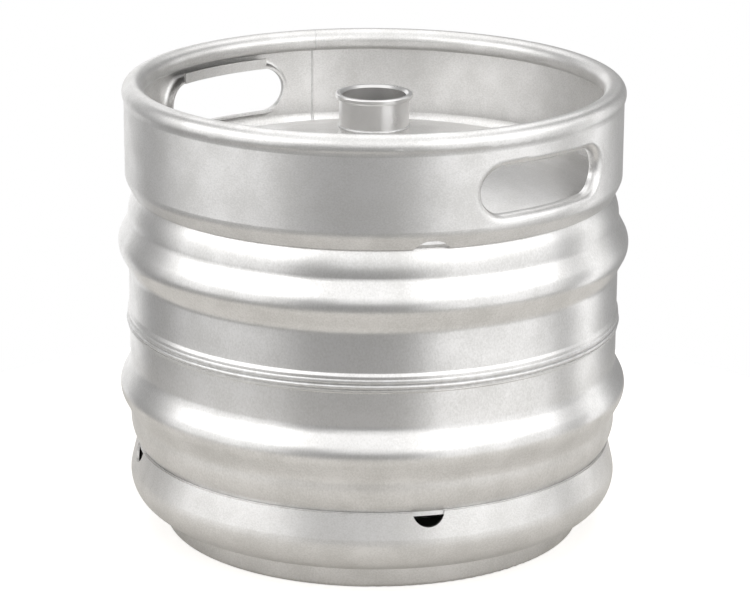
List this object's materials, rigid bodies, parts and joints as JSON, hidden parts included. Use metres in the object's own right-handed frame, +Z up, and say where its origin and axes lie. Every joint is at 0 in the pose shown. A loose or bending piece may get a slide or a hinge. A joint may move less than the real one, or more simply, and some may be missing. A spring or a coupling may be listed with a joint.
{
  "type": "beer keg",
  "caption": "Stackable stainless steel beer keg: ribbed drum, collar with hand holes and rolled rim, stepped foot, neck with sprung spear valves.",
  "frame": {"origin": "on the floor, on the keg's axis, under the middle of the foot ring", "axes": "+Z up along the keg's axis; -Y is the front, with the near hand hole turned 42.7 degrees from it towards +X"},
  "size_m": [0.4078, 0.4078, 0.365],
  "materials": {
    "drum_steel": "pickled satin stainless sheet",
    "chime_steel": "pickled satin stainless sheet",
    "weld_steel": "pickled weld bead",
    "turned_steel": "turned stainless, bright",
    "seal_rubber": "moulded black rubber",
    "spring_steel": "drawn spring wire",
    "pressed_steel": "pressed stainless sheet",
    "tube_steel": "drawn stainless tube",
    "polished_steel": "ground and polished ball"
  },
  "bodies": {
    "keg": {"upper_shell": "drum_steel", "lower_shell": "drum_steel", "girth_weld": "weld_steel", "top_chime": "chime_steel", "top_chime_weld": "weld_steel", "top_chime_seam_weld": "weld_steel", "bottom_chime": "chime_steel", "bottom_chime_weld": "weld_steel", "bottom_chime_seam_weld": "weld_steel", "neck": "turned_steel", "neck_weld": "weld_steel", "spear_body": "turned_steel", "spear_seal": "seal_rubber", "spear_lock_ring": "spring_steel", "spring_cage": "pressed_steel", "gas_spring": "spring_steel"},
    "gas_valve": {"gas_valve_seal": "seal_rubber", "gas_valve_carrier": "pressed_steel", "down_tube": "tube_steel", "beer_spring": "spring_steel", "beer_spring_seat": "turned_steel"},
    "beer_ball": {"beer_valve_ball": "polished_steel"}
  },
  "joints": [
    {"name": "gas_valve_slide", "type": "slide", "parent": "keg", "child": "gas_valve", "axis": [0, 0, -1], "range_m": [0, 0.008], "stiffness_N_per_m": 4000, "springref_m": -0.004, "deforming": ["gas_spring"]},
    {"name": "beer_ball_slide", "type": "slide", "parent": "gas_valve", "child": "beer_ball", "axis": [0, 0, -1], "range_m": [0, 0.005], "stiffness_N_per_m": 300, "springref_m": -0.003, "deforming": ["beer_spring"]}
  ]
}
